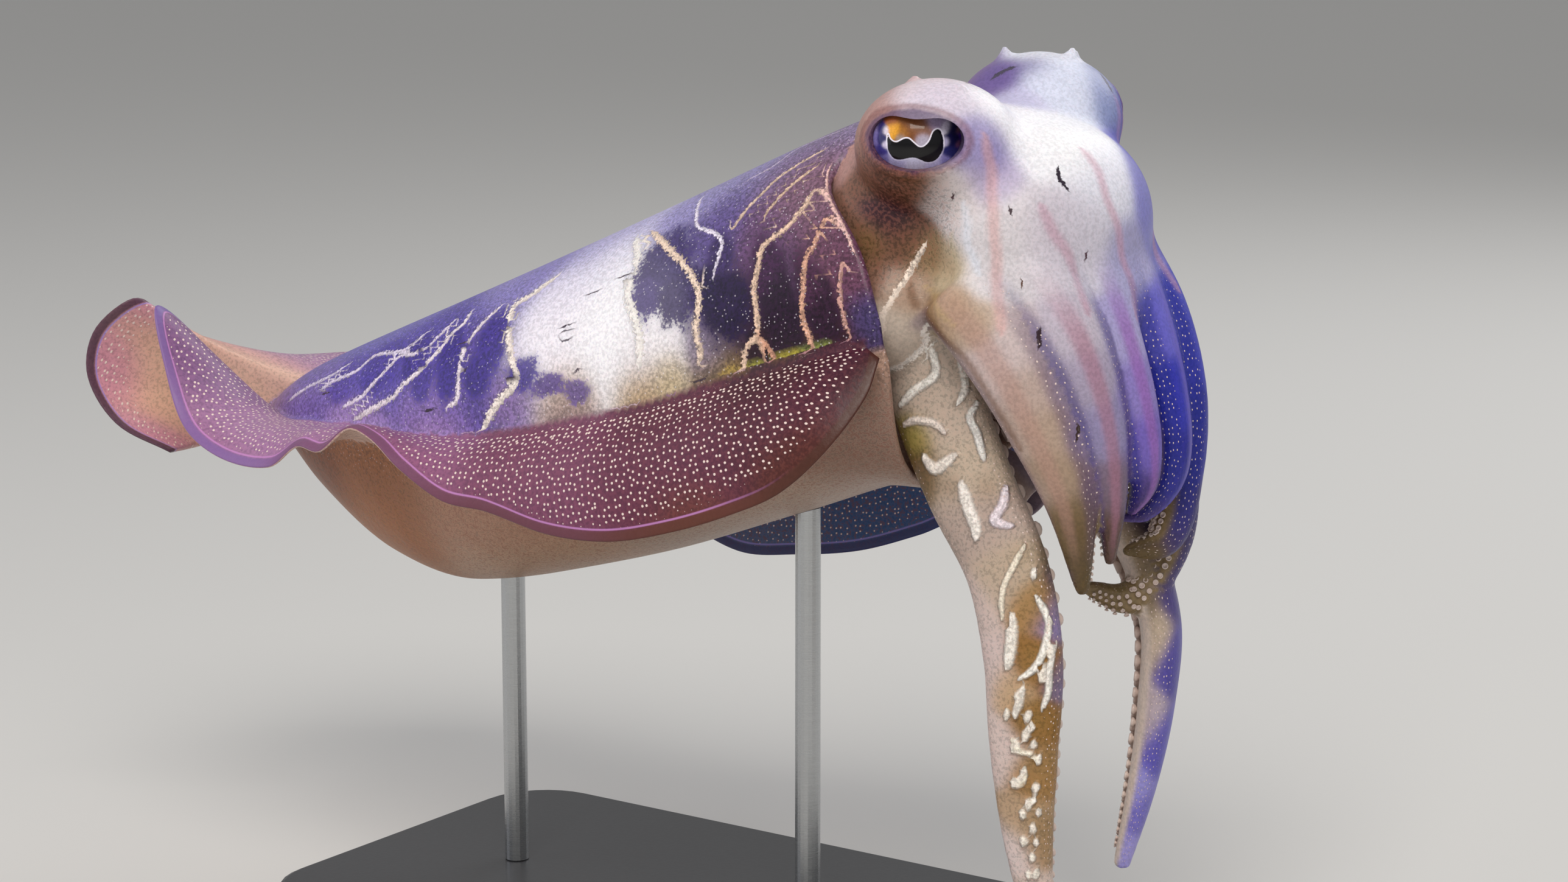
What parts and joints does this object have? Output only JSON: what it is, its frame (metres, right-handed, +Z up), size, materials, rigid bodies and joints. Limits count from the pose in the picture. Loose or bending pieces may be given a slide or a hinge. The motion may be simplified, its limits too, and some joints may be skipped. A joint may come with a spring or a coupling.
{
  "type": "common cuttlefish display model",
  "caption": "Life-size swimming cuttlefish with a tilted mantle, waved side fins, raised eyes and a bundle of hanging arms, on a plain two-rod display stand.",
  "frame": {"origin": "middle of the underside of the stand's base", "axes": "+X forwards, from the tail towards the head; +Y to the animal's left; +Z up"},
  "size_m": [0.3395, 0.1386, 0.2549],
  "materials": {
    "mantle_skin": "moist patterned skin",
    "fin_skin": "moist dotted skin",
    "head_skin": "moist pale skin",
    "arm_skin": "moist striped skin",
    "eye": "wet gloss",
    "stand_base": "satin",
    "stand_rod": "brushed"
  },
  "bodies": {
    "root": {"mantle": "mantle_skin", "fin_right_front": "fin_skin", "fin_right_rear": "fin_skin", "fin_right_tail": "fin_skin", "fin_left_front": "fin_skin", "fin_left_rear": "fin_skin", "fin_left_tail": "fin_skin", "head": "head_skin", "funnel": "head_skin", "arm_1_right_base": "arm_skin", "arm_1_right_tip": "arm_skin", "arm_1_left_base": "arm_skin", "arm_1_left_tip": "arm_skin", "arm_2_right_base": "arm_skin", "arm_2_right_tip": "arm_skin", "arm_2_left_base": "arm_skin", "arm_2_left_tip": "arm_skin", "arm_3_right_base": "arm_skin", "arm_3_right_tip": "arm_skin", "arm_3_left_base": "arm_skin", "arm_3_left_tip": "arm_skin", "arm_4_right_base": "arm_skin", "arm_4_right_middle": "arm_skin", "arm_4_right_tip": "arm_skin", "arm_4_left_base": "arm_skin", "arm_4_left_middle": "arm_skin", "arm_4_left_tip": "arm_skin", "eye_left": "eye", "eye_right": "eye", "stand_base": "stand_base", "stand_rod_front": "stand_rod", "stand_rod_rear": "stand_rod"}
  },
  "joints": []
}
